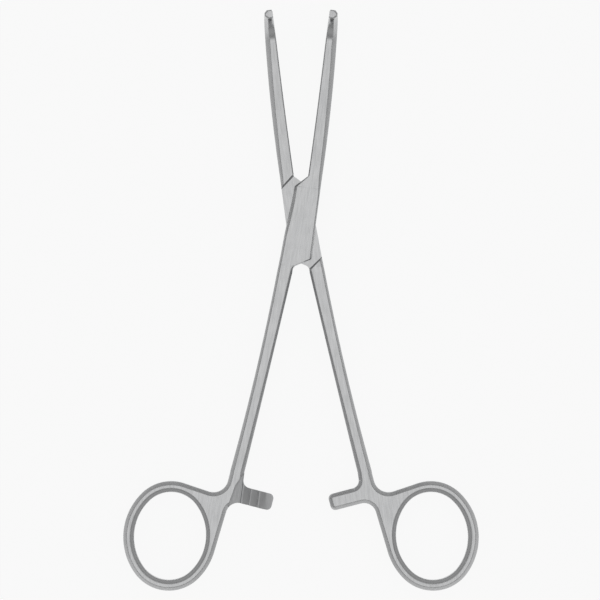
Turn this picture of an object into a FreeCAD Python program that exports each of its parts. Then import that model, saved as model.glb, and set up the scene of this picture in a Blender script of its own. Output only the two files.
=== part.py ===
"""Right angle forceps with a box lock, modelled in millimetres.

The pivot axis is Z through the origin, and the back face of the box lies on
Z = 0. The jaws point along +Y and turn up at their tips, and the finger rings
lie towards -Y. Both halves are drawn closed, with their jaws meeting at
X = 0, and are then swung apart to the opening in which the forceps lies.
"""
import FreeCAD, Part
import math
import os

V = FreeCAD.Vector

# Opening between the two halves as the forceps lies, in degrees
rest_opening = 15.4

# Box lock, seen from the front, with the half-widths measured from the pivot
box_thickness = 5.0
box_top = 14.2              # crotch between the jaws
box_bottom = 16.0           # where the shank leaves the box
box_outer_top = 4.6         # outer edge at the jaw
box_outer_bottom = 4.65     # outer edge at the lower corner
box_corner_bottom = 11.0    # lower corner of the wall
wall_corner_x = 3.35        # upper corner of the wall, on the far side
wall_corner_y = 10.6
wall_corner_round = 0.6
wall_waist_x = 4.3          # far side of the wall beside the pivot
wall_foot_x = 4.85          # far side of the wall where the lock ends
side_round = 60.0           # how softly the long sides bend
lower_crotch = 14.1
lower_crotch_round = 1.2
box_edge = 0.4              # bevel on the box's long edges
lock_gap = 0.6              # room for a corner to swing past the other half
tang_thickness = 1.8
tang_side_clearance = 0.04
pin_radius = 1.5
pin_running_clearance = 0.03

# Plates and bars meet where both run straight down for a little way
meeting_run = 0.6
meeting_round = 3.0

# Shank, from the box to the finger ring
shank_outer_top = 5.2
shank_inner_top = 0.55
shank_waist_drop = 50.0     # from the pivot down to the slim part
shank_outer_waist = 7.85
shank_inner_waist = 3.9
shank_waist_thickness = 4.0
shank_waist_edge = 0.8
shank_length = 79.0         # from the pivot down to the handle
shank_outer_end = 11.3
shank_inner_end = 6.95
handle_thickness = 3.3
handle_edge = 1.1

# Finger ring, an oval leaning outwards at its top
ring_offset = 27.05         # from the instrument's centre line
ring_drop = 22.4            # below the end of the shank
ring_lean = 2.7
ring_opening_length = 27.2
ring_opening_width = 22.2
ring_end_radius = 9.6       # of the opening, at both ends of the oval
ring_band = 3.3
ring_inner_edge = 1.35      # rounding inside the ring, where the finger goes
ring_top_slope = 10.9       # slope of the web's top edge
ring_side_slope = 8.8       # slope of the web's inner edge
web_outer_round = 4.6
web_inner_round = 3.8

# Ratchet arm, which crosses the centre line
arm_width = 5.2
arm_drop = 4.3              # from the end of the shank to the arm's top edge
arm_slope = 6.9
arm_reach = 3.35            # past the centre line
arm_root_round = 2.4
arm_tip_round = 1.5
ratchet_start = 9.8         # distance of the step from the centre line
ratchet_step_lean = 12.0
ratchet_crest_gap = 0.08    # between the crests of the two arms
tooth_count = 3
tooth_pitch = 2.63
tooth_depth = 0.5
tooth_crest = 0.55
tooth_valley = 0.13
first_tooth = 1.6           # steep face of the last tooth, before the centre line

# Jaw, a bar with a flat inner side, bent up by a right angle
jaw_gap_root = 0.3          # inner side from the centre line, at the crotch
jaw_gap_tip = 0.04
jaw_waist = 33.0
jaw_waist_outer = 4.5
jaw_waist_thickness = 4.2
jaw_waist_edge = 1.2
bend_start = 55.7
bend_radius = 6.6           # of the concave side
bend_outer = 3.52
bend_thickness = 3.3
bend_edge = 1.2
bend_stations = 12
bar_stations = 6            # along each straight bar
tip_length = 3.3            # straight end beyond the bend
tip_width = 2.6
tip_thickness = 2.7
tip_round = 0.9
nose_stations = 4

# Lengthwise serrations on the meeting sides of the jaws
serration_count = 3
serration_pitch = 0.83
serration_width = 0.7
serration_depth = 0.3
serration_run = 14.0        # along the straight part of the jaw

middle = box_thickness / 2

# How closely an edge has to lie at a height or a plane to be taken for one that does
closeness = 0.001

quarter_turn = 90
full_turn = 4 * quarter_turn


def path_edges(corners):
    """Edges of an open path of (x, y, radius) corners, the inner ones rounded."""
    points = [V(x, y, 0) for x, y, radius in corners]
    edges = []
    start = points[0]
    for before, corner, after, bend in zip(points, points[1:], points[2:], corners[1:]):
        radius = bend[2]
        if radius == 0:
            edges.append(Part.LineSegment(start, corner).toShape())
            start = corner
            continue
        back = (before - corner).normalize()
        ahead = (after - corner).normalize()
        half = back.getAngle(ahead) / 2
        run = radius / math.tan(half)
        crown = corner + (back + ahead).normalize() * (radius / math.sin(half) - radius)
        edges.append(Part.LineSegment(start, corner + back * run).toShape())
        edges.append(Part.Arc(corner + back * run, crown, corner + ahead * run).toShape())
        start = corner + ahead * run
    edges.append(Part.LineSegment(start, points[-1]).toShape())
    return edges


def closed_outline(corners):
    """Closed wire through rounded corners, begun in the middle of its last side."""
    first, last = corners[0], corners[-1]
    seam = ((first[0] + last[0]) / 2, (first[1] + last[1]) / 2, 0)
    return Part.Wire(path_edges([seam] + corners + [seam]))


def prism(wires, low, high):
    """Upright solid between two heights, with any further wires as its holes."""
    face = Part.makeFace(wires, "Part::FaceMakerBullseye")
    face.translate(V(0, 0, low))
    return face.extrude(V(0, 0, high - low))


def crossing(point, direction, other, other_direction):
    """Where two straight lines meet."""
    area = direction[0] * other_direction[1] - direction[1] * other_direction[0]
    gap = (other[0] - point[0], other[1] - point[1])
    along = (gap[0] * other_direction[1] - gap[1] * other_direction[0]) / area
    return point[0] + direction[0] * along, point[1] + direction[1] * along


def heading(degrees):
    """Unit direction, with 0 along +Y and turning towards +X."""
    angle = math.radians(degrees)
    return math.sin(angle), math.cos(angle)


def bevelled_edges(shape, size, levels, wanted):
    """A plate with a bevel on those of its edges at some heights that are wanted."""
    edges = [edge for edge in shape.Edges if lies_at(edge, levels) and wanted(edge)]
    return shape.makeChamfer(size, edges)


def rounded_edges(shape, radius, wanted):
    """Front and back edges of a plate rounded in three facets, where wanted says so."""
    wide = math.tan(math.pi / 8)
    narrow = math.tan(math.pi / 16)
    facet = radius * (1 - wide)
    low, high = shape.BoundBox.ZMin, shape.BoundBox.ZMax
    faceted = bevelled_edges(shape, facet, (low, high), wanted)
    levels = (low, high, low + facet, high - facet)
    return bevelled_edges(faceted, radius * (wide - narrow), levels, wanted)


def lies_at(edge, levels):
    """Whether an edge lies level, at one of the heights."""
    box = edge.BoundBox
    return box.ZLength < closeness and min(abs(box.ZMin - level) for level in levels) < closeness


def runs_along(edge, y):
    """Whether an edge lies in a crosswise plane, where another part joins."""
    box = edge.BoundBox
    return box.YLength < closeness and abs(box.YMin - y) < closeness


def is_within(edge, area, margin):
    """Whether an edge lies inside a box in plan, grown by a margin."""
    box = edge.BoundBox
    across = area.XMin - margin < box.XMin and box.XMax < area.XMax + margin
    return across and area.YMin - margin < box.YMin and box.YMax < area.YMax + margin


def bevelled_corner(before, corner, after, size):
    """Two points that cut off a corner of an outline, or the corner itself."""
    if size == 0:
        return [corner]
    back = (before - corner).normalize()
    ahead = (after - corner).normalize()
    return [corner + back * size, corner + ahead * size]


def bar_section(centre, up, inner, outer, thickness, inner_edge, outer_edge):
    """Cross-section of a bar: its inner and outer side along X, its thickness along up."""
    half = up * (thickness / 2)
    corners = [
        centre + V(inner, 0, 0) + half,
        centre + V(inner, 0, 0) - half,
        centre + V(outer, 0, 0) - half,
        centre + V(outer, 0, 0) + half,
    ]
    bevels = (inner_edge, inner_edge, outer_edge, outer_edge)
    points = []
    for number, size in enumerate(bevels):
        before, after = corners[number - 1], corners[number + 1 - len(corners)]
        points += bevelled_corner(before, corners[number], after, size)
    return Part.makePolygon(points + points[:1])


def eased(first, waist, last, share, waist_share):
    """Value on a smooth curve through three values, the middle one at waist_share."""
    ahead = first * (share - waist_share) * (share - 1) / waist_share
    between = waist * share * (share - 1) / (waist_share * (waist_share - 1))
    behind = last * share * (share - waist_share) / (1 - waist_share)
    return ahead + between + behind


def straight_bar(first, waist, last):
    """Cross-sections of a straight bar, eased from (y, inner, outer, thickness, edges) to the next."""
    waist_share = (waist[0] - first[0]) / (last[0] - first[0])
    sections = []
    for station in range(bar_stations):
        share = station / (bar_stations - 1)
        y, *form = [eased(*values, share, waist_share) for values in zip(first, waist, last)]
        sections.append(bar_section(V(0, y, middle), V(0, 0, 1), *form))
    return sections


def loft(sections):
    """Solid with straight lines from each section to the next."""
    return Part.makeLoft(sections, True, True)


def box_block():
    """Box without its lock: the flat plate that joins one jaw to the other side's shank."""
    outline = closed_outline([
        (jaw_gap_root, box_top, 0),
        (-wall_corner_x, wall_corner_y, wall_corner_round),
        (-wall_waist_x, 0, side_round),
        (-wall_foot_x, -box_corner_bottom, side_round),
        (-shank_outer_top, -box_bottom + meeting_run, meeting_round),
        (-shank_outer_top, -box_bottom, 0),
        (-shank_inner_top, -box_bottom, 0),
        (-shank_inner_top, -lower_crotch, lower_crotch_round),
        (box_outer_bottom, -box_corner_bottom, 0),
        (box_outer_top, box_top - meeting_run, meeting_round),
        (box_outer_top, box_top, 0),
    ])
    block = prism([outline], 0, box_thickness)
    ends = (box_top, -box_bottom)
    return bevelled_edges(block, box_edge, (0, box_thickness),
                          lambda edge: not any(runs_along(edge, y) for y in ends))


def shank():
    """Bar from the box to the handle, slimming on its way."""
    return loft(straight_bar(
        (-box_bottom, -shank_inner_top, -shank_outer_top, box_thickness, box_edge, box_edge),
        (-shank_waist_drop, -shank_inner_waist, -shank_outer_waist, shank_waist_thickness,
         shank_waist_edge, shank_waist_edge),
        (-shank_length, -shank_inner_end, -shank_outer_end, handle_thickness, handle_edge, handle_edge),
    ))


def on_circle(centre, radius, way):
    """Point on a circle, in a heading from its centre."""
    return centre + V(*heading(way), 0) * radius


def arc(centre, radius, start, end):
    """Edge along a circle from one heading to another."""
    ways = (start, (start + end) / 2, end)
    return Part.Arc(*[on_circle(centre, radius, way) for way in ways]).toShape()


def ring_arcs(band, start, end):
    """Edges of the oval, grown by a band, whose outward headings run down from start to end."""
    edges = []
    for quarter in range(-1, 5):
        centre, radius, way, reach = ring_arc(quarter)
        first, last = min(way + reach, start), max(way - reach, end)
        if first > last:
            edges.append(arc(centre, radius + band, first, last))
    return edges


def ring_arc(quarter):
    """Centre, radius, heading and half-spread of one of the oval's four arcs, its top being number 0."""
    short_half = ring_opening_width / 2
    end_offset = ring_opening_length / 2 - ring_end_radius
    narrowing = short_half - ring_end_radius
    side_radius = (end_offset ** 2 + short_half ** 2 - ring_end_radius ** 2) / (2 * narrowing)
    side_offset = side_radius - short_half
    spread = math.degrees(math.atan2(side_offset, end_offset))
    middle_point = V(-ring_offset, -shank_length - ring_drop, 0)
    way = -ring_lean - quarter_turn * quarter
    if quarter % 2 == 0:
        return on_circle(middle_point, end_offset, way), ring_end_radius, way, spread
    return on_circle(middle_point, -side_offset, way), side_radius, way, quarter_turn - spread


def arm_line(down):
    """Point and direction of a line along the ratchet arm, down from its top edge."""
    direction = heading(quarter_turn + arm_slope)
    point = (-shank_inner_end, -shank_length - arm_drop - down / direction[0])
    return point, direction


def handle():
    """Ring, web and ratchet arm, cut from one flat plate and rounded."""
    rim = ring_arcs(ring_band, ring_top_slope, ring_side_slope + quarter_turn - full_turn)
    top_touch = rim[0].firstVertex().Point
    side_touch = rim[-1].lastVertex().Point
    outer_end = (-shank_outer_end, -shank_length)
    inner_end = (-shank_inner_end, -shank_length)
    outer_way = (shank_outer_waist - shank_outer_end, shank_waist_drop - shank_length)
    outer_bend = (outer_end[0], outer_end[1] - meeting_run)
    top_corner = crossing(top_touch, heading(ring_top_slope + quarter_turn), outer_bend, outer_way)
    side_corner = crossing(side_touch, heading(ring_side_slope), *arm_line(arm_width))
    tip_line = ((arm_reach, -shank_length - arm_drop), heading(arm_slope))
    tip_top = crossing(*tip_line, *arm_line(0))
    tip_bottom = crossing(*tip_line, *arm_line(arm_width))
    root = crossing(inner_end, (0.0, -1.0), *arm_line(0))
    edges = path_edges([
        (side_touch.x, side_touch.y, 0),
        (*side_corner, web_inner_round),
        (*tip_bottom, arm_tip_round),
        (*tip_top, arm_tip_round),
        (*root, arm_root_round),
        (*inner_end, 0),
        (*outer_end, 0),
        (*outer_bend, meeting_round),
        (*top_corner, web_outer_round),
        (top_touch.x, top_touch.y, 0),
    ])
    outline = Part.Wire(Part.__sortEdges__(edges + rim))
    opening = Part.Wire(ring_arcs(0, -ring_lean, -ring_lean - full_turn))
    faces = (middle - handle_thickness / 2, middle + handle_thickness / 2)
    plate = prism([outline, opening], *faces)
    area = opening.BoundBox
    margin = ring_band / 2
    plate = rounded_edges(plate, ring_inner_edge, lambda edge: is_within(edge, area, margin))
    return bevelled_edges(plate, handle_edge, faces, lambda edge: not (
        is_within(edge, area, margin) or runs_along(edge, -shank_length)))


def bend_section(share, rise=0.0, inset=0.0):
    """Section of the jaw part of the way round the bend, or straight above it."""
    angle = share * math.pi / 2
    thickness = bend_thickness + (tip_thickness - bend_thickness) * share
    outer = bend_outer + (tip_width - bend_outer) * share
    reach = bend_radius + thickness / 2
    hub = V(0, bend_start, middle + bend_thickness / 2 + bend_radius)
    centre = hub + V(0, math.sin(angle) * reach, -math.cos(angle) * reach + rise)
    up = V(0, -math.sin(angle), math.cos(angle))
    return bar_section(centre, up, jaw_gap_tip, outer - inset, thickness - 2 * inset, 0, bend_edge - inset)


def jaw():
    """Bar with a flat inner side, tapering to a tip that is bent up by a right angle."""
    straight = straight_bar(
        (box_top, jaw_gap_root, box_outer_top, box_thickness, 0, box_edge),
        (jaw_waist, jaw_gap_root, jaw_waist_outer, jaw_waist_thickness, 0, jaw_waist_edge),
        (bend_start, jaw_gap_tip, bend_outer, bend_thickness, 0, bend_edge),
    )
    bend = [bend_section(step / bend_stations) for step in range(1, bend_stations + 1)]
    nose = []
    for step in range(nose_stations):
        angle = step * math.pi / 2 / nose_stations
        rise = tip_length - tip_round * (1 - math.sin(angle))
        nose.append(bend_section(1, rise, tip_round * (1 - math.cos(angle))))
    return loft(straight + bend + nose)


def serration_grooves():
    """Lengthwise grooves that follow the meeting side of the jaw round its bend."""
    reach = bend_radius + (bend_thickness + tip_thickness) / 4
    hub_z = middle + bend_thickness / 2 + bend_radius
    bed_z = hub_z - reach
    slant = math.sqrt(0.5) * reach
    run = Part.LineSegment(V(0, bend_start - serration_run, bed_z), V(0, bend_start, bed_z))
    bow = Part.Arc(V(0, bend_start, bed_z), V(0, bend_start + slant, hub_z - slant),
                   V(0, bend_start + reach, hub_z))
    rise = Part.LineSegment(V(0, bend_start + reach, hub_z),
                            V(0, bend_start + reach, hub_z + tip_length + tip_round))
    path = Part.Wire([run.toShape(), bow.toShape(), rise.toShape()])
    grooves = []
    for row in range(serration_count):
        z = bed_z + (row - (serration_count - 1) / 2) * serration_pitch
        half = serration_width / 2
        floor = jaw_gap_tip + serration_depth
        corners = [V(0, run.StartPoint.y, z - half), V(floor, run.StartPoint.y, z),
                   V(0, run.StartPoint.y, z + half)]
        profile = Part.makePolygon(corners + corners[:1])
        grooves.append(path.makePipe(Part.Face(profile)))
    return grooves


def lock_pocket(low, high):
    """Room that one half leaves in the box for the other, between its two shoulders."""
    far = box_top + box_bottom
    top_corner_radius = math.hypot(wall_corner_x, wall_corner_y) + lock_gap
    low_corner_radius = math.hypot(box_outer_bottom, box_corner_bottom) + lock_gap
    top_inner = (-jaw_gap_root, box_top)
    top_outer = (-box_outer_top, math.sqrt(top_corner_radius ** 2 - box_outer_top ** 2))
    low_inner = (shank_inner_top, -lower_crotch - lock_gap)
    low_outer = (wall_foot_x, -math.sqrt(low_corner_radius ** 2 - wall_foot_x ** 2))
    top_far = crossing(top_inner, (top_outer[0] - top_inner[0], top_outer[1] - top_inner[1]),
                       (-far, 0), (0, 1))
    low_far = crossing(low_inner, (low_outer[0] - low_inner[0], low_outer[1] - low_inner[1]),
                       (far, 0), (0, 1))
    corners = [top_inner, top_far, (-far, low_inner[1]), low_inner, low_far, (far, box_top)]
    points = [V(x, y, 0) for x, y in corners]
    return prism([Part.makePolygon(points + points[:1])], low, high)


def ratchet_cutter():
    """Space over the saw teeth of one arm, back to the step at the shank."""
    far = ratchet_start + arm_reach + arm_width
    crest = middle - ratchet_crest_gap / 2
    valley = crest - tooth_depth
    top = middle + handle_thickness
    profile = [(-far, valley)]
    for tooth in reversed(range(tooth_count)):
        flank = -first_tooth - tooth * tooth_pitch
        profile += [(flank, valley), (flank, crest), (flank + tooth_crest, crest),
                    (flank + tooth_pitch - tooth_valley, valley)]
    profile += [(far, valley), (far, top), (-far, top)]
    points = [V(x, -shank_length, z) for x, z in profile]
    teeth = Part.Face(Part.makePolygon(points + points[:1])).extrude(V(0, -far, 0))
    low_edge, arm_way = arm_line(arm_width + web_inner_round / 2)
    step_way = heading(ratchet_step_lean)
    arm_middle = -shank_length - arm_drop - arm_width / 2
    step_low = crossing((-ratchet_start, arm_middle), step_way, low_edge, arm_way)
    step_top = crossing((-ratchet_start, arm_middle), step_way, *arm_line(0))
    far_low = crossing(low_edge, arm_way, (far, 0), (0, 1))
    corners = [V(-shank_inner_end, -shank_length, 0), V(*step_top, 0), V(*step_low, 0),
               V(*far_low, 0), V(far, -shank_length, 0)]
    region = prism([Part.makePolygon(corners + corners[:1])], 0, top)
    return teeth.common(region)


def turned_over(shape):
    """The same shape on the other arm: turned over about the instrument's long axis."""
    copy = shape.copy()
    copy.rotate(V(0, 0, middle), V(0, 1, 0), 180)
    return copy


def swung(shape, degrees):
    copy = shape.copy()
    copy.rotate(V(0, 0, 0), V(0, 0, 1), degrees)
    return copy


def forging():
    """One half of the forceps before its lock and its ratchet are cut."""
    joined = box_block().fuse([shank(), handle(), jaw()]).removeSplitter()
    return joined.cut(serration_grooves())


def box_half(blank):
    """The half with the slotted box: right jaw, left shank and left ring."""
    half_slot = tang_thickness / 2 + tang_side_clearance
    slot = lock_pocket(middle - half_slot, middle + half_slot).mirror(V(0, 0, 0), V(1, 0, 0))
    hole = Part.makeCylinder(pin_radius, box_thickness)
    return blank.cut([slot, hole, ratchet_cutter()])


def tang_half(blank):
    """The half whose flat tang passes through the box: left jaw, right shank and right ring."""
    mirrored = blank.mirror(V(0, 0, 0), V(1, 0, 0))
    tang_low = middle - tang_thickness / 2
    tang_high = middle + tang_thickness / 2
    hole = Part.makeCylinder(pin_radius + pin_running_clearance, box_thickness)
    return mirrored.cut([
        lock_pocket(-box_edge, tang_low),
        lock_pocket(tang_high, box_thickness + box_edge),
        hole,
        turned_over(ratchet_cutter()),
    ])


def pivot_pin():
    """Pin riveted into both walls of the box and ground flush."""
    return Part.makeCylinder(pin_radius, box_thickness)


def main():
    os.makedirs("parts", exist_ok=True)
    blank = forging()
    parts = {
        "box_half": swung(box_half(blank), -rest_opening / 2),
        "tang_half": swung(tang_half(blank), rest_opening / 2),
        "pivot_pin": pivot_pin(),
    }
    for name, shape in parts.items():
        shape.exportStep(f"parts/{name}.step")


main()
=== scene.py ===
"""Right angle forceps of satin steel, lying on a white table and seen from straight above.

Each half is modelled in millimetres as it lies in the closed instrument: the pivot of the lock is at
X = 0, Y = 0, the jaws point along +Y and meet at X = 0, and their tips turn up towards +Z. It is
then swung out to the opening in which the forceps lies, and brought to metres.
"""
import math

import bmesh
import bpy
from mathutils import Matrix, Vector


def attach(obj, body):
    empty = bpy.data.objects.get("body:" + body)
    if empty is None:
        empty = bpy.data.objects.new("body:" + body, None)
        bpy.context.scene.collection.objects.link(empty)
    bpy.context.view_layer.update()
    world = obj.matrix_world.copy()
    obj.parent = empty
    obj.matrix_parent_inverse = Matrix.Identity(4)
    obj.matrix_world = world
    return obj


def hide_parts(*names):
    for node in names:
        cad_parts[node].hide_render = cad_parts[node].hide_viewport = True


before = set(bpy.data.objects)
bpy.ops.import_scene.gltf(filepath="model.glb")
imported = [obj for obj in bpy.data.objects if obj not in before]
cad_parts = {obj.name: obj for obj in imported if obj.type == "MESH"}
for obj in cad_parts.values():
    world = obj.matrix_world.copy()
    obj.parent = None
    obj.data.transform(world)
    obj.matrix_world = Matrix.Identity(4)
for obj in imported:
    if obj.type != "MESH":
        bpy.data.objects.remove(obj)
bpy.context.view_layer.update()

# A millimetre, in the metres of the finished scene
MM = 0.001

# The forceps is measured in millimetres, and its turns, slopes and leans in degrees

# How far each half is turned out from the closed instrument
HALF_OPENING = 7.7

# Box lock, with its sides measured from the pivot
BOX_THICKNESS = 5.0
MIDDLE = BOX_THICKNESS / 2
BOX_TOP = 14.2  # crotch between the jaws
BOX_BOTTOM = 16.0  # where the shank leaves the box
BOX_OUTER_TOP = 4.6  # near side at the jaw
BOX_OUTER_BOTTOM = 4.65  # near side at its lower corner
BOX_CORNER_BOTTOM = 11.0  # lower corner of the near side
WALL_CORNER_X = 3.35  # upper corner of the far side
WALL_CORNER_Y = 10.6
WALL_CORNER_ROUND = 0.5
WALL_WAIST_X = 4.3  # far side beside the pivot
WALL_FOOT_X = 4.85  # far side where the lock ends
LOWER_CROTCH = 14.1  # crotch between the shanks
LOWER_CROTCH_ROUND = 1.6
BOX_EDGE = 0.7  # bevel on the far side
BOX_NEAR_EDGE = 0.45  # bevel on the near side
WALL_LEAN = 0.35  # how far the far side leans in beside the pivot
LEAN_FADE = 5.0  # length over which the lean and the near bevel change
SHOULDER_DRAFT = 1.1  # how far the shoulders lean back at the surface
SHOULDER_OVERRUN = 0.3  # how far the cut at a shoulder runs past the crotch
SHOULDER_LIFT = 0.02  # keeps the cut's corner off the crotch's own edge
POCKET_OVERRUN = 0.7  # how far the cuts run out past the faces of the box
LOCK_GAP = 0.6  # room for a corner to swing past the other half
TANG_THICKNESS = 1.8
TANG_SIDE_CLEARANCE = 0.04
PIN_RADIUS = 1.5
PIN_RUNNING_CLEARANCE = 0.03
PIN_SEGMENTS = 64

# Shank
SHANK_OUTER_TOP = 5.2
SHANK_INNER_TOP = 0.55
SHANK_WAIST_DROP = 50.0  # from the pivot down to the slim part
SHANK_OUTER_WAIST = 7.85
SHANK_INNER_WAIST = 3.9
SHANK_WAIST_THICKNESS = 4.0
SHANK_WAIST_EDGE = 0.8
SHANK_LENGTH = 79.0  # from the pivot down to the handle
SHANK_OUTER_END = 11.3
SHANK_INNER_END = 6.95
SHANK_STATIONS = 26
HANDLE_THICKNESS = 3.3
HANDLE_EDGE = 1.1

# Finger ring and its web
RING_OFFSET = 27.05  # from the instrument's centre line
RING_DROP = 22.4  # below the end of the shank
RING_LEAN = 2.7  # outwards at the top
RING_OPENING_LENGTH = 27.2
RING_OPENING_WIDTH = 22.2
RING_END_RADIUS = 9.6  # of the opening, at both ends of the oval
RING_BAND = 3.3
RING_INNER_EDGE = 1.5  # width of the rounding inside the ring
RING_TOP_SLOPE = 10.9  # of the web's top edge
RING_SIDE_SLOPE = 8.8  # of the web's inner edge
RING_STEP = 3.0  # between the points of the oval
RING_EDGE_TILT = 55.0  # of the rounding inside the ring, at its steepest
RING_EDGE_STEPS = 8
RING_FLARE_OVERRUN = 4.0  # facets that its cut runs on above the ring
MEETING_RUN = 0.6  # straight part below the end of the shank
MEETING_ROUND = 3.0
WEB_OUTER_ROUND = 4.6
WEB_INNER_ROUND = 3.8
CORNER_STEP = 7.5  # between the points of a rounded corner

# Ratchet arm
ARM_WIDTH = 5.2
ARM_DROP = 4.3  # from the end of the shank to the arm's top edge
ARM_SLOPE = 6.9
ARM_REACH = 3.35  # past the centre line
ARM_ROOT_ROUND = 2.4
ARM_TIP_ROUND = 1.5
RATCHET_START = 9.8  # distance of the step from the centre line
RATCHET_STEP_LEAN = 12.0
RATCHET_CREST_GAP = 0.08  # between the crests of the two arms
TOOTH_COUNT = 3
TOOTH_PITCH = 2.63
TOOTH_DEPTH = 0.5
TOOTH_CREST = 0.55
TOOTH_VALLEY = 0.13
TOOTH_DRAFT = 0.2  # how far a face of a tooth leans
FIRST_TOOTH = 1.6  # steep face of the last tooth, before the centre line

# Jaw
JAW_GAP_ROOT = 0.3  # inner side from the centre line, at the crotch
JAW_GAP_TIP = 0.04  # inner side from the centre line, from the bend on
JAW_WAIST = 33.0  # height above the pivot at which the next three are measured
JAW_WAIST_OUTER = 4.5
JAW_WAIST_THICKNESS = 4.2
JAW_WAIST_EDGE = 1.2
JAW_STATIONS = 20
JAW_INNER_EDGE = 0.3
JAW_ROOT_EDGE = 0.9
BEND_START = 55.7
BEND_RADIUS = 6.6  # of the concave side
BEND_OUTER = 3.52
BEND_THICKNESS = 3.3
BEND_EDGE = 1.4
BEND_STATIONS = 30
TIP_LENGTH = 3.3  # straight end beyond the bend
TIP_WIDTH = 2.6
TIP_EDGE = 0.8
TIP_THICKNESS = 2.7
TIP_ROUND = 0.6
NOSE_STATIONS = 6
SERRATION_COUNT = 3
SERRATION_PITCH = 0.83
SERRATION_WIDTH = 0.7
SERRATION_DEPTH = 0.3
SERRATION_RUN = 14.0  # along the straight part of the jaw

# Smallest roundings, left by the polishing of a bevel's edges: never more than a share of the bevel
SOFT_EDGE = 0.12
SOFT_STEPS = 2
SOFT_SHARE = 0.3

# Edges of a bevel turn by between these angles, in radians
BEVEL_TURN = (math.radians(38), math.radians(52))

# Edges that turn by more than this stay sharp in the shading
SHARP_ANGLE = 28.0

# A point this near to a plane or a height lies on it
CLOSENESS = 0.001

# Points of the shank and the handle this near to each other become one
SEAM_CLOSENESS = 0.02

# Faces of the box that are twisted by more than this are split into flat ones
TWIST_LIMIT = 0.05

# Edges shorter than this, left where cuts cross, are dissolved
SHORTEST_EDGE = 0.004

# The photograph's frame: 600 pixels a side, with the pivot at this pixel, seen from so many metres
FRAME_PIXELS = 600
PIVOT_PIXEL = (301.0, 222.0)
PIXEL_SIZE = 0.3093 * MM
CAMERA_HEIGHT = 900 * MM
CAMERA_REACH = 10.0
SENSOR_WIDTH = 36.0

# Finishes of the steel: polished to a satin sheen outside, left duller where it is milled, and darker in
# colour there, partly for the milling and partly as painted shade in the recess of the ratchet teeth
SATIN = {
    "dark": (0.49, 0.495, 0.5, 1.0),
    "light": (0.57, 0.573, 0.577, 1.0),
    "smooth": 0.2,
    "rough": 0.34,
    "fineness": 2600.0,
}
# Darker than the satin steel partly for the milling and partly as painted shade: only the sunken faces of
# the ratchet teeth take it
MILLED_AND_SHADED = {
    "dark": (0.42, 0.425, 0.43, 1.0),
    "light": (0.5, 0.503, 0.507, 1.0),
    "smooth": 0.34,
    "rough": 0.48,
    "fineness": 3200.0,
}

# Fine scratches, drawn out along the brushing, and the broad clouds between them
SCRATCH_SQUEEZE = 0.06
SCRATCH_DETAIL = 4.0
SCRATCH_ROUGHNESS = 0.65
SCRATCH_LOW = 0.3
SCRATCH_HIGH = 0.7
SCRATCH_BUMP = 0.12
SCRATCH_DEPTH = 0.02 * MM
CLOUD_SCALE = 260.0
CLOUD_DETAIL = 3.0

# Table, in metres, and light
FLOOR_SIZE = 4.0
FLOOR_GREY = 0.93
FLOOR_ROUGHNESS = 0.9
FLOOR_SPECULAR = 0.1
FLOOR_WHITE_SHARE = 0.9  # of plain white, over which a tenth is the table with its shadows
DOME_STRENGTH = 1.5

# Share of the dome's strength at heights from the horizon, 0, to straight above, 1
DOME_SHARES = ((0.0, 0.2), (0.25, 0.4), (0.65, 0.42), (0.84, 0.27), (0.93, 0.29), (0.97, 0.88), (1.0, 0.93))


def new_object(name, mesh):
    """An object of the scene that shows a mesh."""
    piece = bpy.data.objects.new(name, mesh)
    bpy.context.scene.collection.objects.link(piece)
    return piece


def new_mesh(form, name):
    """Mesh of a finished form, its normals made to point outwards."""
    bmesh.ops.recalc_face_normals(form, faces=form.faces)
    mesh = bpy.data.meshes.new(name)
    form.to_mesh(mesh)
    form.free()
    return mesh


def combined(mesh, others, operation):
    """The mesh after a Boolean operation with each of the others in turn."""
    body = new_object("worked_on", mesh)
    helpers = []
    for other in others:
        helper = new_object("tool", other)
        step = body.modifiers.new("work", "BOOLEAN")
        step.operation = operation
        step.solver = "EXACT"
        step.material_mode = "TRANSFER"
        step.object = helper
        helpers.append(helper)
    depsgraph = bpy.context.evaluated_depsgraph_get()
    result = bpy.data.meshes.new_from_object(body.evaluated_get(depsgraph))
    for leftover in [body] + helpers:
        bpy.data.objects.remove(leftover)
    return result


def crossing(point, direction, other, other_direction):
    """Where two straight lines meet."""
    area = direction[0] * other_direction[1] - direction[1] * other_direction[0]
    gap = (other[0] - point[0], other[1] - point[1])
    along = (gap[0] * other_direction[1] - gap[1] * other_direction[0]) / area
    return point[0] + direction[0] * along, point[1] + direction[1] * along


def heading(degrees):
    """Unit direction, with 0 along +Y and turning towards +X."""
    angle = math.radians(degrees)
    return math.sin(angle), math.cos(angle)


def on_circle(centre, radius, way):
    """Point on a circle, in a heading from its centre."""
    direction = heading(way)
    return centre[0] + direction[0] * radius, centre[1] + direction[1] * radius


def rounded_corner(before, corner, after, radius):
    """Points along the arc that rounds a corner of an outline, or the corner itself."""
    place = Vector(corner)
    if radius == 0:
        return [place]
    back = (Vector(before) - place).normalized()
    ahead = (Vector(after) - place).normalized()
    half = back.angle(ahead) / 2
    centre = place + (back + ahead).normalized() * (radius / math.sin(half))
    start = place + back * (radius / math.tan(half)) - centre
    turn = start.angle_signed(place + ahead * (radius / math.tan(half)) - centre)
    steps = math.ceil(abs(turn) / math.radians(CORNER_STEP))
    return [centre + Matrix.Rotation(-turn * step / steps, 2) @ start for step in range(steps + 1)]


def rounded_path(corners):
    """Points of an open path of (x, y, radius) corners, the inner ones rounded."""
    points = [Vector(corners[0][:2])]
    for before, corner, after in zip(corners, corners[1:], corners[2:]):
        points += rounded_corner(before[:2], corner[:2], after[:2], corner[2])
    return points + [Vector(corners[-1][:2])]


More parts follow.
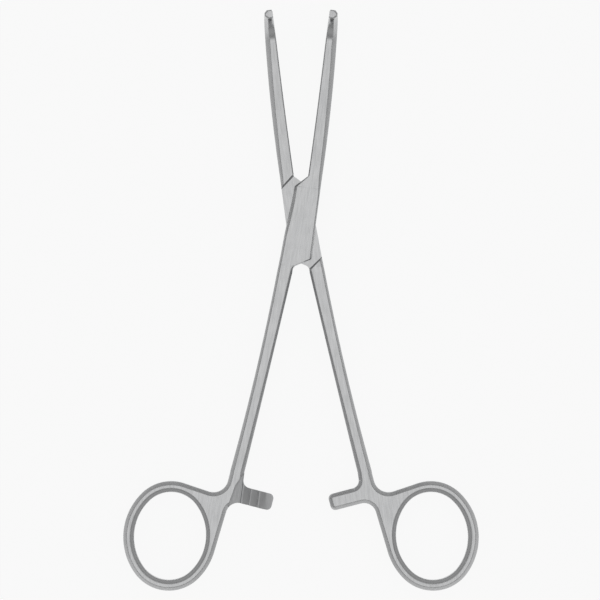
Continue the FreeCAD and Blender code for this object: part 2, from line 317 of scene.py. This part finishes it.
def prism(outline, low, high):
    """Upright form over an outline, between two heights."""
    form = bmesh.new()
    base = form.faces.new([form.verts.new((x, y, low)) for x, y in outline])
    lifted = bmesh.ops.extrude_face_region(form, geom=[base])
    top = [part for part in lifted["geom"] if isinstance(part, bmesh.types.BMVert)]
    bmesh.ops.translate(form, vec=(0.0, 0.0, high - low), verts=top)
    bmesh.ops.recalc_face_normals(form, faces=form.faces)
    return form


def section(form, place, inner, outer, thickness, inner_edge, outer_edge, inner_lean=0.0):
    """Cross-section of a bar with bevelled and softened corners; returns its face.

    The outer side stands upright. The inner side leans in by inner_lean from the middle of its height to
    its top and to its bottom.
    """
    half = thickness / 2
    near = inner + inner_lean
    outline = [(near, -half), (inner, 0.0), (near, half), (outer, half), (outer, 0.0), (outer, -half)]
    points = [form.verts.new(place @ Vector((x, 0.0, z))) for x, z in outline]
    form.faces.new(points)
    inner_corners = [points[0], points[2]]
    outer_corners = [points[3], points[5]]
    for corners, size in ((inner_corners, inner_edge), (outer_corners, outer_edge)):
        bevel = bmesh.ops.bevel(form, geom=corners, offset=size, offset_type="OFFSET", segments=1,
                                profile=0.5, affect="VERTICES", material=-1)
        softened = bmesh.ops.bevel(form, geom=bevel["verts"], offset=min(SOFT_EDGE, size * SOFT_SHARE),
                                   offset_type="OFFSET", segments=SOFT_STEPS, profile=0.5,
                                   affect="VERTICES", material=-1)
    return softened["verts"][0].link_faces[0]


def eased(first, waist, last, share, waist_share):
    """Value on a smooth curve through three values, the middle one at waist_share."""
    ahead = first * (share - waist_share) * (share - 1) / waist_share
    between = waist * share * (share - 1) / (waist_share * (waist_share - 1))
    behind = last * share * (share - waist_share) / (1 - waist_share)
    return ahead + between + behind


def straight_bar(first, waist, last, stations):
    """Places and sizes of the sections of a bar, eased through three of (y, inner, outer, ...)."""
    waist_share = (waist[0] - first[0]) / (last[0] - first[0])
    sections = []
    for station in range(stations + 1):
        share = station / stations
        y, *sizes = [eased(*values, share, waist_share) for values in zip(first, waist, last)]
        sections.append((Matrix.Translation((0.0, y, MIDDLE)), *sizes))
    return sections


def side_at(points, y):
    """How far out a side lies at a height, on the straight lines between its points."""
    for upper, lower in zip(points, points[1:]):
        if upper.y >= y >= lower.y:
            share = (upper.y - y) / (upper.y - lower.y)
            return upper.x + (lower.x - upper.x) * share
    return points[-1].x


def box_sections():
    """Sections of the box between the jaw and the shank, from the top down."""
    far_side = rounded_path([
        (JAW_GAP_ROOT, BOX_TOP, 0),
        (-WALL_CORNER_X, WALL_CORNER_Y, WALL_CORNER_ROUND),
        (-WALL_WAIST_X, 0, 0),
        (-WALL_FOOT_X, -BOX_CORNER_BOTTOM, 0),
        (-SHANK_OUTER_TOP, -BOX_BOTTOM, 0),
    ])
    near_side = rounded_path([
        (BOX_OUTER_TOP, BOX_TOP, 0),
        (BOX_OUTER_BOTTOM, -BOX_CORNER_BOTTOM, 0),
        (-SHANK_INNER_TOP, -LOWER_CROTCH, LOWER_CROTCH_ROUND),
        (-SHANK_INNER_TOP, -BOX_BOTTOM, 0),
    ])
    far_lean = [Vector(point) for point in (
        (0.0, BOX_TOP), (0.0, WALL_CORNER_Y), (WALL_LEAN, WALL_CORNER_Y - LEAN_FADE), (WALL_LEAN, 0.0),
        (0.0, -LEAN_FADE), (0.0, -BOX_BOTTOM))]
    near_edge = [Vector(point) for point in (
        (JAW_ROOT_EDGE, BOX_TOP), (BOX_NEAR_EDGE, BOX_TOP - LEAN_FADE), (BOX_NEAR_EDGE, -LOWER_CROTCH),
        (BOX_EDGE, -BOX_BOTTOM))]
    sides = (far_side, near_side, far_lean, near_edge)
    heights = sorted({round(point.y, 4) for side in sides for point in side}, reverse=True)
    sections = []
    for y in heights[1:-1]:
        inner, outer, inner_lean, outer_edge = [side_at(side, y) for side in sides]
        sections.append((Matrix.Translation((0.0, y, MIDDLE)), inner, outer,
                         BOX_THICKNESS, BOX_EDGE, outer_edge, inner_lean))
    return sections


def bend_section(share, rise=0.0, inset=0.0):
    """Section of the jaw part of the way round the bend, or straight above it."""
    angle = share * math.pi / 2
    thickness = BEND_THICKNESS + (TIP_THICKNESS - BEND_THICKNESS) * share
    outer = BEND_OUTER + (TIP_WIDTH - BEND_OUTER) * share
    edge = BEND_EDGE + (TIP_EDGE - BEND_EDGE) * share
    reach = BEND_RADIUS + thickness / 2
    hub = Vector((0.0, BEND_START, MIDDLE + BEND_THICKNESS / 2 + BEND_RADIUS))
    centre = hub + Vector((0.0, math.sin(angle) * reach, -math.cos(angle) * reach + rise))
    place = Matrix.Translation(centre) @ Matrix.Rotation(angle, 4, "X")
    return (place, JAW_GAP_TIP, outer - inset, thickness - 2 * inset, JAW_INNER_EDGE, edge)


def bar():
    """Jaw, box and shank of one half, in one bar from its tip down to the handle."""
    nose = []
    for step in range(NOSE_STATIONS):
        angle = step * math.pi / 2 / NOSE_STATIONS
        rise = TIP_LENGTH - TIP_ROUND * (1 - math.sin(angle))
        nose.append(bend_section(1, rise, TIP_ROUND * (1 - math.cos(angle))))
    bend = [bend_section(step / BEND_STATIONS) for step in range(1, BEND_STATIONS + 1)]
    straight = straight_bar(
        (BOX_TOP, JAW_GAP_ROOT, BOX_OUTER_TOP, BOX_THICKNESS, JAW_INNER_EDGE, JAW_ROOT_EDGE),
        (JAW_WAIST, JAW_GAP_ROOT, JAW_WAIST_OUTER, JAW_WAIST_THICKNESS, JAW_INNER_EDGE, JAW_WAIST_EDGE),
        (BEND_START, JAW_GAP_TIP, BEND_OUTER, BEND_THICKNESS, JAW_INNER_EDGE, BEND_EDGE),
        JAW_STATIONS)
    shank = straight_bar(
        (-BOX_BOTTOM, -SHANK_OUTER_TOP, -SHANK_INNER_TOP, BOX_THICKNESS, BOX_EDGE, BOX_EDGE),
        (-SHANK_WAIST_DROP, -SHANK_OUTER_WAIST, -SHANK_INNER_WAIST, SHANK_WAIST_THICKNESS,
         SHANK_WAIST_EDGE, SHANK_WAIST_EDGE),
        (-SHANK_LENGTH, -SHANK_OUTER_END, -SHANK_INNER_END, HANDLE_THICKNESS, HANDLE_EDGE, HANDLE_EDGE),
        SHANK_STATIONS)
    stations = [*reversed(straight + bend + nose), *box_sections(), *shank]
    form = bmesh.new()
    faces = [section(form, *station) for station in stations]
    rims = [list(face.edges) for face in faces]
    bmesh.ops.delete(form, geom=faces[1:], context="FACES_ONLY")
    for upper, lower in zip(rims, rims[1:]):
        bmesh.ops.bridge_loops(form, edges=upper + lower)
    return form


def ring_arc(quarter):
    """Centre, radius, heading and half-spread of one of the oval's four arcs, its top being number 0."""
    short_half = RING_OPENING_WIDTH / 2
    end_offset = RING_OPENING_LENGTH / 2 - RING_END_RADIUS
    narrowing = short_half - RING_END_RADIUS
    side_radius = (end_offset ** 2 + short_half ** 2 - RING_END_RADIUS ** 2) / (2 * narrowing)
    side_offset = side_radius - short_half
    spread = math.degrees(math.atan2(side_offset, end_offset))
    middle_point = (-RING_OFFSET, -SHANK_LENGTH - RING_DROP)
    way = -RING_LEAN - 90 * quarter
    if quarter % 2 == 0:
        return on_circle(middle_point, end_offset, way), RING_END_RADIUS, way, spread
    return on_circle(middle_point, -side_offset, way), side_radius, way, 90 - spread


def ring_point(band, way):
    """Point of the oval, grown by a band, whose outward heading is given."""
    for quarter in range(-1, 5):
        centre, radius, arc_way, reach = ring_arc(quarter)
        if abs(way - arc_way) <= reach:
            return on_circle(centre, radius + band, way)


def ring_points(band, start, end):
    """Points round the oval, from one outward heading down to another."""
    steps = round((start - end) / RING_STEP)
    return [ring_point(band, start + (end - start) * step / steps) for step in range(steps + 1)]


def arm_line(down):
    """Point and direction of a line along the ratchet arm, down from its top edge."""
    direction = heading(90 + ARM_SLOPE)
    point = (-SHANK_INNER_END, -SHANK_LENGTH - ARM_DROP - down / direction[0])
    return point, direction


def handle_outline():
    """Outline of the ring, the web and the ratchet arm, begun at the foot of the shank."""
    rim = ring_points(RING_BAND, RING_TOP_SLOPE, RING_SIDE_SLOPE + 90 - 360)
    outer_end = (-SHANK_OUTER_END, -SHANK_LENGTH)
    inner_end = (-SHANK_INNER_END, -SHANK_LENGTH)
    outer_way = (SHANK_OUTER_WAIST - SHANK_OUTER_END, SHANK_WAIST_DROP - SHANK_LENGTH)
    outer_bend = (outer_end[0], outer_end[1] - MEETING_RUN)
    top_corner = crossing(rim[0], heading(RING_TOP_SLOPE + 90), outer_bend, outer_way)
    side_corner = crossing(rim[-1], heading(RING_SIDE_SLOPE), *arm_line(ARM_WIDTH))
    tip_line = ((ARM_REACH, -SHANK_LENGTH - ARM_DROP), heading(ARM_SLOPE))
    outer_path = rounded_path([
        (*outer_end, 0),
        (*outer_bend, MEETING_ROUND),
        (*top_corner, WEB_OUTER_ROUND),
        (*rim[0], 0),
    ])
    inner_path = rounded_path([
        (*rim[-1], 0),
        (*side_corner, WEB_INNER_ROUND),
        (*crossing(*tip_line, *arm_line(ARM_WIDTH)), ARM_TIP_ROUND),
        (*crossing(*tip_line, *arm_line(0)), ARM_TIP_ROUND),
        (*crossing(inner_end, (0.0, -1.0), *arm_line(0)), ARM_ROOT_ROUND),
        (*inner_end, 0),
    ])
    return outer_path + rim[1:-1] + inner_path


def handle():
    """Ring, web and ratchet arm, still without the opening of the ring."""
    half = HANDLE_THICKNESS / 2
    form = prism(handle_outline(), MIDDLE - half, MIDDLE + half)
    # Every level edge but the two at the shank, which the shank's own bevels meet
    level = [edge for edge in form.edges
             if edge.verts[0].co.z == edge.verts[1].co.z
             and max(abs(point.co.y + SHANK_LENGTH) for point in edge.verts) > CLOSENESS]
    bmesh.ops.bevel(form, geom=level, offset=HANDLE_EDGE, offset_type="OFFSET", segments=1, profile=0.5,
                    affect="EDGES", material=-1)
    turned = [edge for edge in form.edges if BEVEL_TURN[0] < edge.calc_face_angle(0.0) < BEVEL_TURN[1]]
    bmesh.ops.bevel(form, geom=turned, offset=SOFT_EDGE, offset_type="OFFSET", segments=SOFT_STEPS,
                    profile=0.5, affect="EDGES", material=-1)
    bmesh.ops.bisect_plane(form, geom=form.verts[:] + form.edges[:] + form.faces[:], dist=CLOSENESS,
                           plane_co=(0.0, 0.0, MIDDLE), plane_no=(0.0, 0.0, 1.0))
    return form


def ring_hole():
    """Form that cuts the opening of the ring, flared so that it leaves rounded edges."""
    form = bmesh.new()
    radius = RING_INNER_EDGE / math.sin(math.radians(RING_EDGE_TILT))
    flare = []
    for step in range(RING_EDGE_STEPS):
        tilt = math.radians(RING_EDGE_TILT * (1 - step / RING_EDGE_STEPS))
        flare.append((HANDLE_THICKNESS / 2 - radius * (1 - math.cos(tilt)),
                      RING_INNER_EDGE - radius * math.sin(tilt)))
    (before_z, before_growth), (last_z, last_growth) = flare[-2:]
    flare.append((last_z + (last_z - before_z) * RING_FLARE_OVERRUN,
                  last_growth + (last_growth - before_growth) * RING_FLARE_OVERRUN))
    levels = [(-z, growth) for z, growth in reversed(flare)] + flare
    faces = []
    for z, growth in levels:
        outline = ring_points(growth, -RING_LEAN, -RING_LEAN - 360)[:-1]
        faces.append(form.faces.new([form.verts.new((x, y, MIDDLE + z)) for x, y in outline]))
    rims = [list(face.edges) for face in faces]
    bmesh.ops.delete(form, geom=faces[1:-1], context="FACES_ONLY")
    for lower, upper in zip(rims, rims[1:]):
        bmesh.ops.bridge_loops(form, edges=lower + upper)
    return new_mesh(form, "ring_hole")


def serration_grooves():
    """Grooves that follow the meeting side of the jaw round its bend."""
    reach = BEND_RADIUS + (BEND_THICKNESS + TIP_THICKNESS) / 4
    hub_z = MIDDLE + BEND_THICKNESS / 2 + BEND_RADIUS
    half = SERRATION_WIDTH / 2
    start_y = BEND_START - SERRATION_RUN
    form = bmesh.new()
    for row in range(SERRATION_COUNT):
        z = hub_z - reach + (row - (SERRATION_COUNT - 1) / 2) * SERRATION_PITCH
        corners = [(0.0, z - half), (JAW_GAP_TIP + SERRATION_DEPTH, z), (0.0, z + half)]
        face = form.faces.new([form.verts.new((x, start_y, z)) for x, z in corners])
        run = bmesh.ops.extrude_face_region(form, geom=[face])["geom"]
        points = [part for part in run if isinstance(part, bmesh.types.BMVert)]
        bmesh.ops.translate(form, vec=(0.0, SERRATION_RUN, 0.0), verts=points)
        bow = bmesh.ops.spin(form, geom=run, cent=(0.0, BEND_START, hub_z), axis=(1.0, 0.0, 0.0),
                             angle=math.pi / 2, steps=BEND_STATIONS, use_duplicate=False)["geom_last"]
        rise = bmesh.ops.extrude_face_region(form, geom=bow)["geom"]
        points = [part for part in rise if isinstance(part, bmesh.types.BMVert)]
        bmesh.ops.translate(form, vec=(0.0, 0.0, TIP_LENGTH + TIP_ROUND), verts=points)
    return new_mesh(form, "serration_grooves")


def lock_pocket(inner_z, outer_z, draft=0.0, side=1):
    """Room that one half leaves in the box for the other, on the side given by 1 or -1.

    Its shoulders lean back by the draft, from the height inner_z to the height outer_z.
    """
    far = BOX_TOP + BOX_BOTTOM
    top_corner_radius = math.hypot(WALL_CORNER_X, WALL_CORNER_Y) + LOCK_GAP
    low_corner_radius = math.hypot(BOX_OUTER_BOTTOM, BOX_CORNER_BOTTOM) + LOCK_GAP
    top_inner = (-JAW_GAP_ROOT, BOX_TOP + SHOULDER_LIFT)
    top_outer = (-BOX_OUTER_TOP, math.sqrt(top_corner_radius ** 2 - BOX_OUTER_TOP ** 2))
    low_inner = (SHANK_INNER_TOP, -LOWER_CROTCH - LOCK_GAP)
    low_outer = (WALL_FOOT_X, -math.sqrt(low_corner_radius ** 2 - WALL_FOOT_X ** 2))
    top_way = (top_outer[0] - top_inner[0], top_outer[1] - top_inner[1])
    low_way = (low_outer[0] - low_inner[0], low_outer[1] - low_inner[1])
    top_far = crossing(top_inner, top_way, (-far, 0), (0, 1))
    low_far = crossing(low_inner, low_way, (far, 0), (0, 1))
    above = crossing(top_inner, top_way, (0, BOX_TOP + SHOULDER_OVERRUN), (1, 0))
    corners = [above, top_far, (-far, low_inner[1]), low_inner, low_far, (far, above[1])]
    form = prism([(side * x, y) for x, y in corners], inner_z, outer_z)
    outer = [point for point in form.verts if abs(point.co.z - outer_z) < abs(point.co.z - inner_z)]
    bmesh.ops.scale(form, vec=(1.0, 1.0 + draft / BOX_TOP, 1.0), verts=outer)
    return new_mesh(form, "lock_pocket")


def pin_hole(radius):
    """Bore along the pivot axis."""
    form = bmesh.new()
    bmesh.ops.create_cone(form, cap_ends=True, segments=PIN_SEGMENTS, radius1=radius, radius2=radius,
                          depth=2 * BOX_THICKNESS, matrix=Matrix.Translation((0.0, 0.0, MIDDLE)))
    return new_mesh(form, "pin_hole")


def ratchet_space():
    """Space over the saw teeth of one arm, back to the step at the shank."""
    far = RATCHET_START + ARM_REACH + ARM_WIDTH
    crest = MIDDLE - RATCHET_CREST_GAP / 2
    valley = crest - TOOTH_DEPTH
    top = MIDDLE + HANDLE_THICKNESS
    profile = [(-far, valley)]
    for tooth in reversed(range(TOOTH_COUNT)):
        flank = -FIRST_TOOTH - tooth * TOOTH_PITCH
        profile += [(flank - TOOTH_DRAFT, valley), (flank, crest), (flank + TOOTH_CREST, crest),
                    (flank + TOOTH_PITCH - TOOTH_DRAFT - TOOTH_VALLEY, valley)]
    profile += [(far, valley), (far, top), (-far, top)]
    upright = Matrix.Rotation(math.pi / 2, 3, "X")
    teeth = prism(profile, SHANK_LENGTH, SHANK_LENGTH + far)
    bmesh.ops.rotate(teeth, cent=(0.0, 0.0, 0.0), matrix=upright, verts=teeth.verts)
    low_edge, arm_way = arm_line(ARM_WIDTH + WEB_INNER_ROUND / 2)
    arm_middle = (-RATCHET_START, -SHANK_LENGTH - ARM_DROP - ARM_WIDTH / 2)
    step_way = heading(RATCHET_STEP_LEAN)
    region = prism([
        (-SHANK_INNER_END, -SHANK_LENGTH),
        crossing(arm_middle, step_way, *arm_line(0)),
        crossing(arm_middle, step_way, low_edge, arm_way),
        crossing(low_edge, arm_way, (far, 0), (0, 1)),
        (far, -SHANK_LENGTH),
    ], 0.0, top)
    return combined(new_mesh(teeth, "ratchet_teeth"), [new_mesh(region, "ratchet_region")], "INTERSECT")


def turned_over(mesh):
    """The same form on the other arm: turned over about the instrument's long axis."""
    about = Matrix.Translation((0.0, 0.0, MIDDLE))
    mesh.transform(about @ Matrix.Rotation(math.pi, 4, "Y") @ about.inverted())
    return mesh


def forging():
    """One half of the forceps before its lock and its ratchet are cut."""
    form = bar()
    form.from_mesh(new_mesh(handle(), "handle_plate"))
    ends = [face for face in form.faces
            if max(abs(point.co.y + SHANK_LENGTH) for point in face.verts) < CLOSENESS]
    bmesh.ops.delete(form, geom=ends, context="FACES_ONLY")
    bmesh.ops.remove_doubles(form, verts=form.verts, dist=SEAM_CLOSENESS)
    box = [face for face in form.faces if -BOX_BOTTOM < face.calc_center_median().y < BOX_TOP]
    bmesh.ops.connect_verts_nonplanar(form, angle_limit=math.radians(TWIST_LIMIT), faces=box)
    return combined(new_mesh(form, "forging"), [ring_hole(), serration_grooves()], "DIFFERENCE")


def finished_half(name, body, blank, pockets, ratchet, turn):
    """One half of the forceps, cut, set in place and riding on its body."""
    milled_and_shaded = steel(f"milled_and_shaded_steel_{name}", MILLED_AND_SHADED, turn)
    satin = steel(f"satin_steel_{name}", SATIN, turn)
    for solid in (blank, ratchet, *pockets):
        solid.materials.clear()
        # The ratchet's cut faces take the darker milled steel, whose colour partly paints the shade of their
        # recess
        solid.materials.append(milled_and_shaded if solid == ratchet else satin)
    mesh = combined(blank, [*pockets, ratchet], "DIFFERENCE")
    form = bmesh.new()
    form.from_mesh(mesh)
    bmesh.ops.dissolve_degenerate(form, dist=SHORTEST_EDGE, edges=form.edges)
    form.to_mesh(mesh)
    form.free()
    mesh.transform(Matrix.Rotation(math.radians(turn), 4, "Z"))
    mesh.transform(Matrix.Scale(MM, 4))
    mesh.name = name
    mesh.shade_smooth()
    mesh.set_sharp_from_angle(angle=math.radians(SHARP_ANGLE))
    piece = new_object(f"{name}_forging", mesh)
    fair = piece.modifiers.new("even_shading", "WEIGHTED_NORMAL")
    fair.keep_sharp = True
    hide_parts(name)
    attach(piece, body)


def mirrored(mesh):
    """The same half for the other hand."""
    form = bmesh.new()
    form.from_mesh(mesh)
    bmesh.ops.scale(form, vec=(-1.0, 1.0, 1.0), verts=form.verts)
    return new_mesh(form, "mirrored_forging")


def both_halves():
    """The two halves, from one forging and its mirror image."""
    blank = forging()
    half_slot = TANG_THICKNESS / 2 + TANG_SIDE_CLEARANCE
    tang_low = MIDDLE - TANG_THICKNESS / 2
    tang_high = MIDDLE + TANG_THICKNESS / 2
    finished_half("tang_half", "tang_side", mirrored(blank), [
        lock_pocket(tang_low, -POCKET_OVERRUN, SHOULDER_DRAFT),
        lock_pocket(tang_high, BOX_THICKNESS + POCKET_OVERRUN, SHOULDER_DRAFT),
        pin_hole(PIN_RADIUS + PIN_RUNNING_CLEARANCE),
    ], turned_over(ratchet_space()), HALF_OPENING)
    finished_half("box_half", "box_side", blank, [
        lock_pocket(MIDDLE - half_slot, MIDDLE + half_slot, side=-1),
        pin_hole(PIN_RADIUS),
    ], ratchet_space(), -HALF_OPENING)


def new_material(name):
    """A material with its shader, and its node tree."""
    material = bpy.data.materials.new(name)
    material.use_nodes = True
    tree = material.node_tree
    return material, tree, tree.nodes["Principled BSDF"]


def add_node(tree, kind, **settings):
    """A new node of a tree, with its settings."""
    node = tree.nodes.new(kind)
    for setting, value in settings.items():
        setattr(node, setting, value)
    return node


def satin_grain_group():
    """Fine scratches drawn out along Y, and broad soft clouds, over the mapped position given to it."""
    group = bpy.data.node_groups.new("satin_grain", "ShaderNodeTree")
    group.interface.new_socket("Position", in_out="INPUT", socket_type="NodeSocketVector")
    group.interface.new_socket("Fineness", in_out="INPUT", socket_type="NodeSocketFloat")
    group.interface.new_socket("Scratches", in_out="OUTPUT", socket_type="NodeSocketFloat")
    group.interface.new_socket("Clouds", in_out="OUTPUT", socket_type="NodeSocketFloat")
    entry = group.nodes.new("NodeGroupInput")
    result = group.nodes.new("NodeGroupOutput")
    drawn_out = add_node(group, "ShaderNodeMapping")
    drawn_out.inputs["Scale"].default_value = (1.0, SCRATCH_SQUEEZE, 1.0)
    group.links.new(entry.outputs["Position"], drawn_out.inputs["Vector"])
    scratches = add_node(group, "ShaderNodeTexNoise")
    scratches.inputs["Detail"].default_value = SCRATCH_DETAIL
    scratches.inputs["Roughness"].default_value = SCRATCH_ROUGHNESS
    group.links.new(drawn_out.outputs["Vector"], scratches.inputs["Vector"])
    group.links.new(entry.outputs["Fineness"], scratches.inputs["Scale"])
    clouds = add_node(group, "ShaderNodeTexNoise")
    clouds.inputs["Scale"].default_value = CLOUD_SCALE
    clouds.inputs["Detail"].default_value = CLOUD_DETAIL
    group.links.new(entry.outputs["Position"], clouds.inputs["Vector"])
    group.links.new(scratches.outputs["Fac"], result.inputs["Scratches"])
    group.links.new(clouds.outputs["Fac"], result.inputs["Clouds"])
    return group


def steel(name, finish, grain_turn):
    """Stainless steel with a finish, brushed along a half that is turned by grain_turn degrees."""
    material, tree, shader = new_material(name)
    place = add_node(tree, "ShaderNodeTexCoord")
    along = add_node(tree, "ShaderNodeMapping")
    along.inputs["Rotation"].default_value = (0.0, 0.0, math.radians(-grain_turn))
    tree.links.new(place.outputs["Object"], along.inputs["Vector"])
    grain = add_node(tree, "ShaderNodeGroup", node_tree=bpy.data.node_groups["satin_grain"])
    grain.inputs["Fineness"].default_value = finish["fineness"]
    tree.links.new(along.outputs["Vector"], grain.inputs["Position"])

    shade = add_node(tree, "ShaderNodeMix", data_type="RGBA")
    shade.inputs["A"].default_value = finish["dark"]
    shade.inputs["B"].default_value = finish["light"]
    tree.links.new(grain.outputs["Clouds"], shade.inputs["Factor"])
    tree.links.new(shade.outputs["Result"], shader.inputs["Base Color"])

    gloss = add_node(tree, "ShaderNodeMapRange")
    gloss.inputs["From Min"].default_value = SCRATCH_LOW
    gloss.inputs["From Max"].default_value = SCRATCH_HIGH
    gloss.inputs["To Min"].default_value = finish["smooth"]
    gloss.inputs["To Max"].default_value = finish["rough"]
    tree.links.new(grain.outputs["Scratches"], gloss.inputs["Value"])
    tree.links.new(gloss.outputs["Result"], shader.inputs["Roughness"])

    bump = add_node(tree, "ShaderNodeBump")
    bump.inputs["Strength"].default_value = SCRATCH_BUMP
    bump.inputs["Distance"].default_value = SCRATCH_DEPTH
    tree.links.new(grain.outputs["Scratches"], bump.inputs["Height"])
    tree.links.new(bump.outputs["Normal"], shader.inputs["Normal"])
    shader.inputs["Metallic"].default_value = 1.0
    return material


def background_rays(tree):
    """1 for rays from the camera and for reflections, 0 for the light that falls on things."""
    path = add_node(tree, "ShaderNodeLightPath")
    seen = path.outputs["Is Camera Ray"]
    for kind in ("Is Glossy Ray", "Is Transmission Ray"):
        both = add_node(tree, "ShaderNodeMath", operation="ADD", use_clamp=True)
        tree.links.new(seen, both.inputs[0])
        tree.links.new(path.outputs[kind], both.inputs[1])
        seen = both.outputs["Value"]
    return seen


def table():
    """White table top under the instrument, which still takes a faint shadow."""
    form = bmesh.new()
    bmesh.ops.create_grid(form, x_segments=1, y_segments=1, size=FLOOR_SIZE / 2)
    mesh = bpy.data.meshes.new("table_top")
    form.to_mesh(mesh)
    form.free()
    piece = new_object("table_top", mesh)
    material, tree, shader = new_material("white_table")
    shader.inputs["Base Color"].default_value = (FLOOR_GREY, FLOOR_GREY, FLOOR_GREY, 1.0)
    shader.inputs["Roughness"].default_value = FLOOR_ROUGHNESS
    shader.inputs["Specular IOR Level"].default_value = FLOOR_SPECULAR
    white = add_node(tree, "ShaderNodeEmission")
    white.inputs["Strength"].default_value = 1.0
    share = add_node(tree, "ShaderNodeMath", operation="MULTIPLY")
    share.inputs[1].default_value = FLOOR_WHITE_SHARE
    tree.links.new(background_rays(tree), share.inputs[0])
    blend = add_node(tree, "ShaderNodeMixShader")
    tree.links.new(share.outputs["Value"], blend.inputs["Fac"])
    tree.links.new(shader.outputs["BSDF"], blend.inputs[1])
    tree.links.new(white.outputs["Emission"], blend.inputs[2])
    tree.links.new(blend.outputs["Shader"], tree.nodes["Material Output"].inputs["Surface"])
    mesh.materials.append(material)


def dome():
    """Light from all round: bright overhead, dimmer in a band round that, then even, and little low down."""
    world = bpy.data.worlds.new("studio_dome")
    bpy.context.scene.world = world
    world.use_nodes = True
    tree = world.node_tree
    tree.nodes.clear()
    direction = add_node(tree, "ShaderNodeTexCoord")
    split = add_node(tree, "ShaderNodeSeparateXYZ")
    tree.links.new(direction.outputs["Generated"], split.inputs["Vector"])
    height = add_node(tree, "ShaderNodeValToRGB")
    stops = height.color_ramp.elements
    for position, share in DOME_SHARES[1:-1]:
        stops.new(position)
    for stop, (position, share) in zip(stops, DOME_SHARES):
        stop.color = (share, share, share, 1.0)
    tree.links.new(split.outputs["Z"], height.inputs["Fac"])
    level = add_node(tree, "ShaderNodeMath", operation="MULTIPLY")
    level.inputs[1].default_value = DOME_STRENGTH
    tree.links.new(height.outputs["Color"], level.inputs[0])
    light = add_node(tree, "ShaderNodeBackground")
    tree.links.new(level.outputs["Value"], light.inputs["Strength"])
    output = add_node(tree, "ShaderNodeOutputWorld")
    tree.links.new(light.outputs["Background"], output.inputs["Surface"])


def camera():
    """Straight above, so that the pivot falls on its pixel of the photograph."""
    lens = bpy.data.cameras.new("photo_camera")
    lens.sensor_width = SENSOR_WIDTH
    lens.lens = SENSOR_WIDTH * CAMERA_HEIGHT / (FRAME_PIXELS * PIXEL_SIZE)
    lens.clip_end = CAMERA_REACH
    holder = new_object("photo_camera", lens)
    middle = FRAME_PIXELS / 2
    holder.location = (
        (middle - PIVOT_PIXEL[0]) * PIXEL_SIZE,
        (PIVOT_PIXEL[1] - middle) * PIXEL_SIZE,
        CAMERA_HEIGHT,
    )
    bpy.context.scene.camera = holder


satin_grain_group()
both_halves()
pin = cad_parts["pivot_pin"]
pin.data.materials.clear()
pin.data.materials.append(steel("satin_steel_pin", SATIN, -HALF_OPENING))
table()
dome()
camera()
bpy.context.scene.view_settings.view_transform = "Standard"
